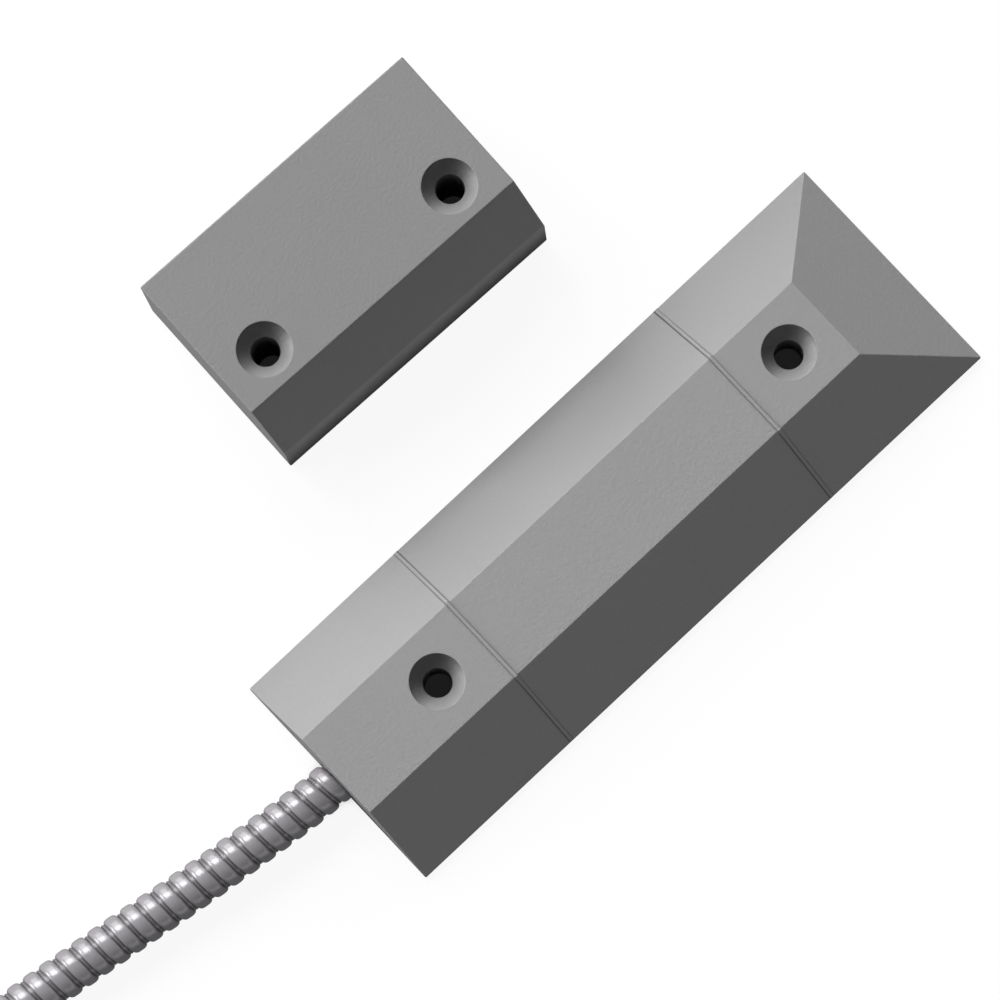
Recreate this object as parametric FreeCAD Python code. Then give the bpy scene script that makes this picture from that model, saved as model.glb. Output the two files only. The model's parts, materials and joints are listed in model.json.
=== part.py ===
"""Floor magnetic contact: a switch unit with an armoured lead, and a magnet unit.

Frame: millimetres, +Z up from the mounting plane. The origin is midway between the switch unit's
two screw holes, +X runs along the switch towards its hipped end, and the magnet unit lies at +Y.
"""
import FreeCAD
import Part
import math
import os

V = FreeCAD.Vector

# Screw holes, the same in both housings
SCREW_BORE = 4.2
SINK_DIAMETER = 7.8
SINK_ANGLE = 90.0
SINK_RECESS = 1.2
BOSS_DIAMETER = 8.8
HOLE_EDGE_RADIUS = 0.15

# Switch housing, outside
SWITCH_HOLE_SPACING = 67.7
CABLE_END_REACH = 53.6
HIP_END_REACH = 54.4
SWITCH_WIDTH = 36.6
SWITCH_HEIGHT = 12.7
SWITCH_TOP_WIDTH = 14.0
SWITCH_FOOT = 1.0
HIP_RUN = 13.5
CABLE_END_LEAN = 0.35
SWITCH_EDGE_RADIUS = 0.2
RIB_SPACING = 50.6
RIB_WIDTH = 0.8
RIB_RISE = 0.25
RIB_SIDE_DRAFT = 40.0

# Switch housing, inside
SWITCH_WALL = 2.0
SWITCH_ROOF = 2.2
END_WALL = 2.5
POST_THICKNESS = 1.6
POST_GAP = 10.0
PEG_DIAMETER = 1.6
PEG_SPREAD = 15.0
PEG_TIP = 0.5

# Circuit board
BOARD_TOP = 6.0
BOARD_THICKNESS = 1.0
BOARD_BOSS_GAP = 1.35
BOARD_OVERHANG = 2.0
BOARD_EDGE_GAP = 0.4
PEG_CLEARANCE = 0.15

# Reed switch
GLASS_LENGTH = 20.0
GLASS_DIAMETER = 2.6
GLASS_WALL = 0.35
GLASS_SEAL = 3.0
GLASS_STANDOFF = 0.6
BLADE_WIDTH = 1.1
BLADE_THICKNESS = 0.25
BLADE_OVERLAP = 1.4
BLADE_GAP = 0.15
LEAD_WIRE = 0.6
LEAD_REACH = 3.5
LEAD_BEND = 1.0
LEAD_TAIL = 0.9

# Solder
SOLDER_FOOT = 0.9
SOLDER_TIP = 0.5
SOLDER_HEIGHT = 0.7

# Armoured lead
CONDUIT_DIAMETER = 6.5
CONDUIT_AXIS_Z = 4.6
CONDUIT_REST_Z = 3.3
WALL_BORE_CLEARANCE = 0.2
FERRULE_LENGTH = 5.0
FERRULE_WALL = 0.45
FERRULE_LIP = 0.7
FERRULE_LIP_LENGTH = 1.2
COIL_PITCH = 6.7
COIL_START_RADIUS = 43.3
COIL_TURNS = 2.25
COIL_ARCS_PER_TURN = 8

# Cable inside the armour, and its cores
JACKET_DIAMETER = 3.6
JACKET_STUB = 2.0
CORE_DIAMETER = 1.1
CORE_SPREAD = 1.24
WIRE_DIAMETER = 0.5
WIRE_STICKOUT = 0.2
CORE_LEVEL = 1.8
CORE_STEP = 1.0
CORE_STRAIGHT = 2.6
CORE_STAGGER = 1.2
CORE_BOSS_GAP = 0.65
CORE_LANE = 1.9
PAD_INSET = 6.0
PAD_SPREAD = 3.0
BUSH_LIP = 1.0
BUSH_NOSE = 1.6
BUSH_NOSE_DIAMETER = 5.0
BUSH_CLEARANCE = 0.1
TIP_LENGTH = 6.0

# Resin, in both housings
POTTING_RECESS = 0.6

# Magnet housing, outside
MAGNET_LENGTH = 48.8
MAGNET_DEPTH = 30.0
MAGNET_HEIGHT = 24.0
MAGNET_RIDGE_SETBACK = 6.5
MAGNET_FRONT_HEIGHT = 12.1
MAGNET_FRONT_LEAN = 0.2
MAGNET_EDGE_RADIUS = 0.2
MAGNET_HOLE_SPACING = 34.4
MAGNET_HOLE_SETBACK = 11.95

# Magnet unit, inside
MAGNET_WALL = 2.2
MAGNET_ROOF = 2.6
BAR_LENGTH = 38.0
BAR_WIDTH = 8.0
BAR_HEIGHT = 8.0
CRADLE_WALL = 0.9
BAR_CLEARANCE = 0.1
CRADLE_BACK_GAP = 0.3

# Where the magnet unit stands: the middle of its front edge, and its small turn about Z
MAGNET_STAND_X = -3.24
MAGNET_STAND_Y = 37.0
MAGNET_TURN = -1.49

# Route of the free armoured lead, from inside the end wall to the start of the coil
LEAD_ROUTE = [
    (-55.3, 0, CONDUIT_AXIS_Z),
    (-66.3, 1.25, 4.2),
    (-79.1, 2.95, 3.55),
    (-93.1, 5.25, CONDUIT_REST_Z),
    (-108.1, 7.3, CONDUIT_REST_Z),
    (-124.6, 9.1, CONDUIT_REST_Z),
    (-140.6, 10.6, CONDUIT_REST_Z),
]

# Route of the bare cable beyond the armour's end, from the coil's centre, in X, Y and height
TAIL_ROUTE = [
    (-27.1, 9.3, 2.9),
    (-23.0, 17.2, 1.85),
    (-15.6, 22.0, 1.85),
    (-6.6, 23.0, 1.85),
    (2.4, 20.3, 1.85),
]

# The four cores fan out beyond the jacket: a straight start, a first run and a last run
FAN_START = 4.5
FAN_FIRST_RUN = 9.0
FAN_LAST_RUN = 8.5
FAN_FIRST_HEADING = -30.0
FAN_HEADINGS = (-36.0, -58.0, -80.0, -102.0)
FAN_LEVEL = 0.6
FAN_UPPER_LEVEL = 1.3

ARC_SHARE = 0.45

# Values that follow from the sizes above
CABLE_END_X = -CABLE_END_REACH
CAVITY_END_X = CABLE_END_X + END_WALL
SLOPE_RUN = (SWITCH_WIDTH - SWITCH_TOP_WIDTH) / 2
SLOPE_RISE = SWITCH_HEIGHT - SWITCH_FOOT
SWITCH_ROOF_Z = SWITCH_HEIGHT - SWITCH_ROOF
BOARD_BOTTOM = BOARD_TOP - BOARD_THICKNESS
BOARD_LENGTH = SWITCH_HOLE_SPACING - BOSS_DIAMETER - 2 * BOARD_BOSS_GAP
POST_SPACING = BOARD_LENGTH - POST_THICKNESS - 2 * BOARD_OVERHANG
REED_AXIS_Z = BOARD_TOP + GLASS_STANDOFF + GLASS_DIAMETER / 2
LEAD_HOLE_X = GLASS_LENGTH / 2 + LEAD_REACH
CONDUIT_INNER_X = CAVITY_END_X + FERRULE_LENGTH
JACKET_END_X = CONDUIT_INNER_X + JACKET_STUB
BOSS_RADIUS = BOSS_DIAMETER / 2
SINK_DEPTH = (SINK_DIAMETER - SCREW_BORE) / 2 / math.tan(math.radians(SINK_ANGLE / 2))


def save(node, shape):
    """Write one sub-part as parts/NODE.step."""
    shape.exportStep(os.path.join("parts", node + ".step"))
    print(node, "volume", round(shape.Volume, 2), "solids", len(shape.Solids), "valid", shape.isValid())


def prism(points, direction):
    """A closed outline pushed along a direction."""
    face = Part.Face(Part.makePolygon(points + [points[0]]))
    return face.extrude(direction)


def is_ring(edge, centre, radius):
    """Whether an edge is a level circle of that centre and radius, judged by its box."""
    box = edge.BoundBox
    near = (box.Center - centre).Length < 0.01
    return near and box.ZLength < 0.01 and abs(box.XLength - 2 * radius) < 0.01


def soften_screw_holes(shape, places, top):
    """Round the rims of the recesses and the edges where the countersinks meet the bores."""
    rings = []
    for place in places:
        rings.append((V(place.x, place.y, top), SINK_DIAMETER / 2))
        rings.append((V(place.x, place.y, top - SINK_RECESS - SINK_DEPTH), SCREW_BORE / 2))
    edges = [edge for edge in shape.Edges if any(is_ring(edge, *ring) for ring in rings)]
    return shape.makeFillet(HOLE_EDGE_RADIUS, edges)


def cylinder(radius, start, end):
    """A round bar from one point to another."""
    axis = end - start
    return Part.makeCylinder(radius, axis.Length, start, axis)


def turned(profile, origin, axis_x):
    """A profile of (distance along, radius) points turned about the line along axis_x from origin."""
    points = [V(along, radius, 0) for along, radius in profile]
    face = Part.Face(Part.makePolygon(points + [points[0]]))
    solid = face.revolve(V(0, 0, 0), V(1, 0, 0), 360)
    solid.Placement = FreeCAD.Placement(origin, FreeCAD.Rotation(V(1, 0, 0), axis_x))
    return solid


def screw_hole(x, y, top):
    """A screw hole as one cutting tool: the bore, the countersink, and a recess that sinks the head."""
    clear = 1.0
    sink_end = top - SINK_RECESS - SINK_DEPTH
    bore = Part.makeCylinder(SCREW_BORE / 2, top + 2 * clear, V(x, y, -clear))
    sink = Part.makeCone(SCREW_BORE / 2, SINK_DIAMETER / 2, SINK_DEPTH, V(x, y, sink_end))
    recess = Part.makeCylinder(SINK_DIAMETER / 2, SINK_RECESS + clear, V(x, y, top - SINK_RECESS))
    return bore.fuse([sink, recess])


def tube(name, points, diameter):
    """A round cord: straight runs joined by tangent bends, each as large as its two runs allow.

    Prints the bends' radii, and compares the volume with the section times the length.
    """
    radius = diameter / 2
    pieces = []
    bends = []
    length = 0
    here = points[0]
    for before, corner, after in zip(points, points[1:], points[2:]):
        arrive = corner - before
        leave = after - corner
        half_turn = arrive.getAngle(leave) / 2
        setback = ARC_SHARE * min(arrive.Length, leave.Length)
        bend = setback / math.tan(half_turn)
        into = V(arrive).normalize()
        out = V(leave).normalize()
        start = corner - into * setback
        centre = corner + (out - into).normalize() * (bend / math.cos(half_turn))
        section = Part.Face(Part.Wire(Part.makeCircle(radius, start, into)))
        pieces.append(cylinder(radius, here, start))
        pieces.append(section.revolve(centre, into.cross(out), math.degrees(2 * half_turn)))
        length += (start - here).Length + 2 * half_turn * bend
        bends.append(round(bend, 1))
        here = corner + out * setback
    pieces.append(cylinder(radius, here, points[-1]))
    length += (points[-1] - here).Length
    solid = pieces[0].fuse(pieces[1:]).removeSplitter().Solids[0]
    print(name, "length", round(length, 2), "radii", bends, "volume over section x length",
          round(solid.Volume / (math.pi * radius ** 2 * length), 4))
    return solid


def slope_y(z, inset):
    """Half width of the switch's sloping sides at a height, moved inwards by a wall thickness."""
    stretch = math.hypot(SLOPE_RUN, SLOPE_RISE) / SLOPE_RISE
    return SWITCH_WIDTH / 2 - (z - SWITCH_FOOT) * SLOPE_RUN / SLOPE_RISE - inset * stretch


def hip_x(z, inset):
    """Where the hip slope lies along X at a height, moved inwards by a wall thickness."""
    stretch = math.hypot(HIP_RUN, SLOPE_RISE) / SLOPE_RISE
    return HIP_END_REACH - (z - SWITCH_FOOT) * HIP_RUN / SLOPE_RISE - inset * stretch


def switch_boss_places():
    return [V(side * SWITCH_HOLE_SPACING / 2, 0, 0) for side in (-1, 1)]


def switch_outside():
    """The hipped block: the cross-section pushed along X, met by the side outline pushed along Y."""
    half = SWITCH_WIDTH / 2
    half_top = SWITCH_TOP_WIDTH / 2
    section = [V(CABLE_END_X, y, z) for y, z in (
        (-half, 0), (half, 0), (half, SWITCH_FOOT), (half_top, SWITCH_HEIGHT),
        (-half_top, SWITCH_HEIGHT), (-half, SWITCH_FOOT))]
    side = [V(x, -half, z) for x, z in (
        (CABLE_END_X, 0), (HIP_END_REACH, 0), (HIP_END_REACH, SWITCH_FOOT),
        (HIP_END_REACH - HIP_RUN, SWITCH_HEIGHT), (CABLE_END_X + CABLE_END_LEAN, SWITCH_HEIGHT))]
    length = HIP_END_REACH - CABLE_END_X
    block = prism(section, V(length, 0, 0)).common(prism(side, V(0, SWITCH_WIDTH, 0)))
    rounded = [edge for edge in block.Edges if edge.BoundBox.ZMax > SWITCH_FOOT / 2]
    return block.makeFillet(SWITCH_EDGE_RADIUS, rounded)


def rib(x):
    """A thin raised band over both slopes and the top, with drafted sides, flush with the foot."""
    lean = RIB_RISE * math.tan(math.radians(RIB_SIDE_DRAFT))
    sections = []
    for place, rise in ((x - RIB_WIDTH / 2, 0), (x - RIB_WIDTH / 2 + lean, RIB_RISE),
                        (x + RIB_WIDTH / 2 - lean, RIB_RISE), (x + RIB_WIDTH / 2, 0)):
        foot_y = slope_y(SWITCH_FOOT, -rise)
        top_y = slope_y(SWITCH_HEIGHT + rise, -rise)
        sections.append(Part.makePolygon([V(place, y, z) for y, z in (
            (-foot_y, SWITCH_FOOT), (foot_y, SWITCH_FOOT), (top_y, SWITCH_HEIGHT + rise),
            (-top_y, SWITCH_HEIGHT + rise), (-foot_y, SWITCH_FOOT))]))
    band = Part.makeLoft(sections, True, True)
    bounds = Part.makeBox(RIB_WIDTH, SWITCH_WIDTH, SWITCH_HEIGHT + RIB_RISE,
                          V(x - RIB_WIDTH / 2, -SWITCH_WIDTH / 2, 0))
    return band.common(bounds)


def switch_cavity():
    """The hollow that opens downwards, with even walls along the slopes and the hip."""
    low_y = slope_y(0, SWITCH_WALL)
    high_y = slope_y(SWITCH_ROOF_Z, SWITCH_WALL)
    section = [V(CAVITY_END_X, y, z) for y, z in (
        (-low_y, 0), (low_y, 0), (high_y, SWITCH_ROOF_Z), (-high_y, SWITCH_ROOF_Z))]
    side = [V(x, -low_y, z) for x, z in (
        (CAVITY_END_X, 0), (hip_x(0, SWITCH_WALL), 0),
        (hip_x(SWITCH_ROOF_Z, SWITCH_WALL), SWITCH_ROOF_Z), (CAVITY_END_X, SWITCH_ROOF_Z))]
    length = hip_x(0, SWITCH_WALL) - CAVITY_END_X
    return prism(section, V(length, 0, 0)).common(prism(side, V(0, 2 * low_y, 0)))


def board_posts():
    """Four posts under the roof that the board rests against, each with a locating peg."""
    posts = []
    for x in (-POST_SPACING / 2, POST_SPACING / 2):
        for side in (-1, 1):
            inner = side * POST_GAP / 2
            outer = side * SWITCH_WIDTH / 2
            corner = V(x - POST_THICKNESS / 2, min(inner, outer), BOARD_TOP)
            post = Part.makeBox(POST_THICKNESS, abs(outer - inner), SWITCH_HEIGHT - BOARD_TOP, corner)
            peg = Part.makeCylinder(PEG_DIAMETER / 2, BOARD_THICKNESS + PEG_TIP,
                                    V(x, side * PEG_SPREAD / 2, BOARD_BOTTOM - PEG_TIP))
            posts.append(post.fuse(peg))
    return posts


def make_switch_housing(cavity):
    """Die-cast shell with ribs outside, screw bosses and board posts inside, and the lead's bore."""
    bosses = [Part.makeCylinder(BOSS_RADIUS, SWITCH_HEIGHT, place) for place in switch_boss_places()]
    solid_inside = bosses[0].fuse(bosses[1:] + board_posts())
    hollow = cavity.cut(solid_inside)
    shell = switch_outside().fuse([rib(-RIB_SPACING / 2), rib(RIB_SPACING / 2)])
    shell = shell.cut(hollow)
    bore_radius = CONDUIT_DIAMETER / 2 + WALL_BORE_CLEARANCE
    tools = [screw_hole(place.x, place.y, SWITCH_HEIGHT) for place in switch_boss_places()]
    tools.append(cylinder(bore_radius, V(CABLE_END_X - 1, 0, CONDUIT_AXIS_Z),
                          V(CAVITY_END_X, 0, CONDUIT_AXIS_Z)))
    housing = shell.cut(tools).removeSplitter().Solids[0]
    return soften_screw_holes(housing, switch_boss_places(), SWITCH_HEIGHT), hollow


def pad_places():
    """Where the four cores come up through the board."""
    x = -BOARD_LENGTH / 2 + PAD_INSET
    return [V(x, side * lane * PAD_SPREAD, BOARD_TOP) for side in (-1, 1) for lane in (1, 2)]


def make_circuit_board():
    """The board, with holes for the pegs, the reed's leads and the cores."""
    half_width = slope_y(BOARD_TOP, SWITCH_WALL) - BOARD_EDGE_GAP
    board = Part.makeBox(BOARD_LENGTH, 2 * half_width, BOARD_THICKNESS,
                         V(-BOARD_LENGTH / 2, -half_width, BOARD_BOTTOM))
    holes = []
    for x in (-POST_SPACING / 2, POST_SPACING / 2):
        for side in (-1, 1):
            holes.append((x, side * PEG_SPREAD / 2, PEG_DIAMETER / 2 + PEG_CLEARANCE))
    for side in (-1, 1):
        holes.append((side * LEAD_HOLE_X, 0, LEAD_WIRE / 2))
    for place in pad_places():
        holes.append((place.x, place.y, WIRE_DIAMETER / 2))
    return board.cut([Part.makeCylinder(r, BOARD_THICKNESS, V(x, y, BOARD_BOTTOM)) for x, y, r in holes])


def reed_blade(side):
    """One blade: the flat reed in the glass and its lead, bent down through the board."""
    seal_x = GLASS_LENGTH / 2 - GLASS_SEAL
    lead_end = V(side * LEAD_HOLE_X, 0, BOARD_BOTTOM - LEAD_TAIL)
    corner = V(side * LEAD_HOLE_X, 0, REED_AXIS_Z)
    start = V(side * (seal_x - LEAD_BEND), 0, REED_AXIS_Z)
    before = corner - V(side * LEAD_BEND, 0, 0)
    after = corner - V(0, 0, LEAD_BEND)
    middle = V(side * (LEAD_HOLE_X - LEAD_BEND + LEAD_BEND * math.sin(math.pi / 4)), 0,
               REED_AXIS_Z - LEAD_BEND + LEAD_BEND * math.cos(math.pi / 4))
    path = Part.Wire([Part.LineSegment(start, before).toShape(), Part.Arc(before, middle, after).toShape(),
                      Part.LineSegment(after, lead_end).toShape()])
    circle = Part.Wire(Part.makeCircle(LEAD_WIRE / 2, start, before - start))
    lead = path.makePipeShell([circle], True, False)
    length = seal_x + BLADE_OVERLAP / 2
    lift = side * (BLADE_GAP + BLADE_THICKNESS) / 2
    inner = -BLADE_OVERLAP / 2 if side > 0 else BLADE_OVERLAP / 2 - length
    flat = Part.makeBox(length, BLADE_WIDTH, BLADE_THICKNESS,
                        V(inner, -BLADE_WIDTH / 2, REED_AXIS_Z + lift - BLADE_THICKNESS / 2))
    return lead.fuse(flat).removeSplitter().Solids[0]


def make_reed_glass(blades):
    """The sealed tube: domed ends melted round the two blades."""
    half = GLASS_LENGTH / 2
    radius = GLASS_DIAMETER / 2
    outer = cylinder(radius, V(-half, 0, REED_AXIS_Z), V(half, 0, REED_AXIS_Z))
    outer = outer.makeFillet(radius * 0.8, [edge for edge in outer.Edges if edge.Length > GLASS_LENGTH * 0.4
                                            and edge.BoundBox.XLength < radius])
    gas_end = half - GLASS_SEAL
    gas = cylinder(radius - GLASS_WALL, V(-gas_end, 0, REED_AXIS_Z), V(gas_end, 0, REED_AXIS_Z))
    return outer.cut([gas] + blades)


def make_solder_joints(leads):
    """A small cone of solder on each wire that comes through the board."""
    joints = []
    for side in (-1, 1):
        joints.append(Part.makeCone(SOLDER_FOOT, SOLDER_TIP, SOLDER_HEIGHT,
                                    V(side * LEAD_HOLE_X, 0, BOARD_BOTTOM), V(0, 0, -1)))
    for place in pad_places():
        joints.append(Part.makeCone(SOLDER_FOOT, SOLDER_TIP, SOLDER_HEIGHT, place))
    return [joint.cut(leads) for joint in joints]


def core_starts():
    """The four cores' places in the jacket, as (across, up) from its axis."""
    step = CORE_SPREAD / 2
    return [(across * step, up * step) for across in (-1, 1) for up in (-1, 1)]


def make_inner_cores():
    """Insulated cores from the jacket, round the near boss, to the pads under the board."""
    cores = []
    wires = []
    lane_y = BOSS_RADIUS + CORE_BOSS_GAP + CORE_DIAMETER / 2
    boss_x = -SWITCH_HOLE_SPACING / 2
    lanes = {(-1, -1): -lane_y - CORE_LANE, (-1, 1): -lane_y, (1, 1): lane_y, (1, -1): lane_y + CORE_LANE}
    pads = {(-1, 1): 0, (-1, -1): 1, (1, 1): 2, (1, -1): 3}
    for number, (across, up) in enumerate(core_starts(), start=1):
        key = (int(math.copysign(1, across)), int(math.copysign(1, up)))
        pad = pad_places()[pads[key]]
        level = CORE_LEVEL + (CORE_STEP if up > 0 else 0)
        early = 0 if up > 0 else CORE_STAGGER
        route = [
            V(JACKET_END_X, across, CONDUIT_AXIS_Z + up),
            V(JACKET_END_X + CORE_STRAIGHT - early, across, CONDUIT_AXIS_Z + up),
            V(boss_x - BOSS_RADIUS - early, lanes[key], level),
            V(boss_x + BOSS_RADIUS, lanes[key] * 0.98, level),
            V(pad.x, pad.y, level),
            V(pad.x, pad.y, BOARD_BOTTOM),
        ]
        cores.append(tube("core_%d" % number, route, CORE_DIAMETER))
        wires.append(cylinder(WIRE_DIAMETER / 2, V(pad.x, pad.y, BOARD_BOTTOM),
                              V(pad.x, pad.y, BOARD_TOP + SOLDER_HEIGHT + WIRE_STICKOUT)))
    return cores, wires


def make_ferrule():
    """Turned ferrule on the armour's end, its lip against the end wall's inner face."""
    inner = CONDUIT_DIAMETER / 2
    body = inner + FERRULE_WALL
    lip = inner + FERRULE_LIP
    profile = [(0, inner), (0, lip), (FERRULE_LIP_LENGTH, lip), (FERRULE_LIP_LENGTH, body),
               (FERRULE_LENGTH, body), (FERRULE_LENGTH, inner)]
    return turned(profile, V(CAVITY_END_X, 0, CONDUIT_AXIS_Z), V(1, 0, 0))


def lead_points():
    """The free lead's route, from the ferrule's inner end."""
    return [V(CONDUIT_INNER_X, 0, CONDUIT_AXIS_Z)] + [V(*point) for point in LEAD_ROUTE]


def coil_frame():
    """The coil's centre, and the angle from there of the point where the lead enters it."""
    points = lead_points()
    heading = (points[-1] - points[-2]).normalize()
    towards_centre = V(heading.y, -heading.x, 0)
    centre = points[-1] + towards_centre * COIL_START_RADIUS
    return centre, math.atan2(-towards_centre.y, -towards_centre.x)


def coil_radius(turned_by):
    """Radius of the coil's centre line after a number of turns."""
    return COIL_START_RADIUS - COIL_PITCH * turned_by


def coil_point(turned_by, offset, z):
    """A point beside the coil's centre line; the lead turns clockwise, seen from above."""
    centre, start_angle = coil_frame()
    angle = start_angle - 2 * math.pi * turned_by
    radius = coil_radius(turned_by) + offset
    return V(centre.x + radius * math.cos(angle), centre.y + radius * math.sin(angle), z)


def coil_side(first, last, offset, z):
    """One side of the coil as a chain of arcs, from one number of turns to another."""
    count = round(abs(last - first) * COIL_ARCS_PER_TURN)
    step = (last - first) / count
    chain = []
    for index in range(count):
        begin = first + index * step
        chain.append(Part.Arc(coil_point(begin, offset, z), coil_point(begin + step / 2, offset, z),
                              coil_point(begin + step, offset, z)).toShape())
    return chain


def make_conduit_coil():
    """The put-away length as the outer shape of its flat turns, a step at each end of the lead."""
    half = COIL_PITCH / 2
    low = CONDUIT_REST_Z - CONDUIT_DIAMETER / 2
    last = COIL_TURNS
    outer = coil_side(0, 1, half, low)
    outer.append(Part.LineSegment(coil_point(1, half, low), coil_point(0, half, low)).toShape())
    inner = coil_side(last - 1, last, -half, low)
    inner.append(Part.LineSegment(coil_point(last, -half, low), coil_point(last - 1, -half, low)).toShape())
    face = Part.Face(Part.Wire(outer)).cut(Part.Face(Part.Wire(inner)))
    return face.extrude(V(0, 0, CONDUIT_DIAMETER)).Solids[0]


def coil_end():
    """The armour's far end: its middle and the direction that it points in."""
    centre, start_angle = coil_frame()
    angle = start_angle - 2 * math.pi * COIL_TURNS
    return coil_point(COIL_TURNS, 0, CONDUIT_REST_Z), V(math.sin(angle), -math.cos(angle), 0)


def make_end_bush():
    """Plastic bush on the armour's cut end, with the cable through it."""
    place, heading = coil_end()
    bore = JACKET_DIAMETER / 2 + BUSH_CLEARANCE
    profile = [(0, bore), (0, CONDUIT_DIAMETER / 2), (BUSH_LIP, CONDUIT_DIAMETER / 2),
               (BUSH_LIP + BUSH_NOSE, BUSH_NOSE_DIAMETER / 2), (BUSH_LIP + BUSH_NOSE, bore)]
    return turned(profile, place, heading)


def tail_points():
    """The bare cable's route from the armour's end, first straight through the bush."""
    place, heading = coil_end()
    centre, start_angle = coil_frame()
    return [place, place + heading * (BUSH_LIP + BUSH_NOSE + 1.0)] + [
        V(centre.x + x, centre.y + y, z) for x, y, z in TAIL_ROUTE]


def heading_vector(degrees):
    return V(math.cos(math.radians(degrees)), math.sin(math.radians(degrees)), 0)


def tail_core_routes():
    """The four cores' routes beyond the jacket, each to the start of its bared tip."""
    points = tail_points()
    end = points[-1]
    forward = (points[-1] - points[-2]).normalize()
    left = V(-forward.y, forward.x, 0)
    order = [(1, -1), (1, 1), (-1, 1), (-1, -1)]
    routes = []
    for (across, up), last_heading in zip(order, FAN_HEADINGS):
        start = end + left * (across * CORE_SPREAD / 2) + V(0, 0, up * CORE_SPREAD / 2)
        first = start + forward * FAN_START
        bend = first + heading_vector((FAN_FIRST_HEADING + last_heading) / 2) * FAN_FIRST_RUN
        bend.z = FAN_UPPER_LEVEL if up > 0 else FAN_LEVEL
        stop = bend + heading_vector(last_heading) * FAN_LAST_RUN
        stop.z = FAN_LEVEL
        routes.append([start, first, bend, stop])
    return routes


def tail_tip(route):
    """The bared and tinned end of a core, straight on from its insulation."""
    along = (route[-1] - route[-2]).normalize()
    return cylinder(WIRE_DIAMETER / 2, route[-1], route[-1] + along * TIP_LENGTH)


def magnet_placed(shape):
    """Move a piece from the magnet unit's own frame to where the unit stands."""
    stand = V(MAGNET_STAND_X, MAGNET_STAND_Y, 0)
    shape.Placement = FreeCAD.Placement(stand, FreeCAD.Rotation(V(0, 0, 1), MAGNET_TURN)).multiply(
        shape.Placement)
    return shape


def magnet_section(x, wall, roof, low):
    """Outline of the wedge in Y and Z, moved inwards by its wall and roof thickness."""
    slope_run = MAGNET_RIDGE_SETBACK - MAGNET_FRONT_LEAN
    slope_rise = MAGNET_HEIGHT - MAGNET_FRONT_HEIGHT
    stretch = math.hypot(slope_run, slope_rise) / slope_rise
    top = MAGNET_HEIGHT - roof
    lean = MAGNET_FRONT_LEAN / MAGNET_FRONT_HEIGHT

    def slope_at(z):
        return MAGNET_FRONT_LEAN + (z - MAGNET_FRONT_HEIGHT) * slope_run / slope_rise + wall * stretch

    fold_z = MAGNET_FRONT_HEIGHT - wall * (stretch - 1) * slope_rise / slope_run
    return [V(x, wall + lean * low, low), V(x, wall + lean * fold_z, fold_z), V(x, slope_at(top), top),
            V(x, MAGNET_DEPTH - wall, top), V(x, MAGNET_DEPTH - wall, low)]


def magnet_boss_places():
    return [V(side * MAGNET_HOLE_SPACING / 2, MAGNET_HOLE_SETBACK, 0) for side in (-1, 1)]


def magnet_block(wall, roof):
    """The wedge, solid, with each side moved inwards by the wall."""
    length = MAGNET_LENGTH - 2 * wall
    return prism(magnet_section(-length / 2, wall, roof, 0), V(length, 0, 0))


def make_magnet_housing(cavity):
    """Die-cast wedge, hollow below, with a screw boss at each end."""
    block = magnet_block(0, 0)
    rounded = [edge for edge in block.Edges if edge.BoundBox.ZMax > MAGNET_FRONT_HEIGHT / 2]
    shell = block.makeFillet(MAGNET_EDGE_RADIUS, rounded)
    bosses = [Part.makeCylinder(BOSS_RADIUS, MAGNET_HEIGHT, place) for place in magnet_boss_places()]
    hollow = cavity.cut(bosses)
    holes = [screw_hole(place.x, place.y, MAGNET_HEIGHT) for place in magnet_boss_places()]
    housing = shell.cut(hollow).cut(holes).removeSplitter().Solids[0]
    return soften_screw_holes(housing, magnet_boss_places(), MAGNET_HEIGHT), hollow


def make_cradle_and_bar():
    """The bar magnet in its plastic cradle, against the roof behind the screw bosses."""
    roof_z = MAGNET_HEIGHT - MAGNET_ROOF
    inner = V(BAR_LENGTH + 2 * BAR_CLEARANCE, BAR_WIDTH + 2 * BAR_CLEARANCE, BAR_HEIGHT)
    outer = inner + V(2 * CRADLE_WALL, 2 * CRADLE_WALL, CRADLE_WALL)
    back = MAGNET_DEPTH - MAGNET_WALL - CRADLE_BACK_GAP
    corner = V(-outer.x / 2, back - outer.y, roof_z - outer.z)
    cradle = Part.makeBox(outer.x, outer.y, outer.z, corner)
    pocket_corner = corner + V(CRADLE_WALL, CRADLE_WALL, CRADLE_WALL)
    cradle = cradle.cut(Part.makeBox(inner.x, inner.y, inner.z, pocket_corner))
    bar = Part.makeBox(BAR_LENGTH, BAR_WIDTH, BAR_HEIGHT, pocket_corner + V(BAR_CLEARANCE, BAR_CLEARANCE, 0))
    return cradle, bar, Part.makeBox(outer.x, outer.y, outer.z, corner)


def poured(hollow, pieces):
    """Resin: the hollow above the recess at the mounting plane, less what is set in it."""
    box = hollow.BoundBox
    floor = Part.makeBox(box.XLength + 2, box.YLength + 2, POTTING_RECESS + 1,
                         V(box.XMin - 1, box.YMin - 1, -1))
    return hollow.cut([floor] + pieces).Solids[0]


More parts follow.
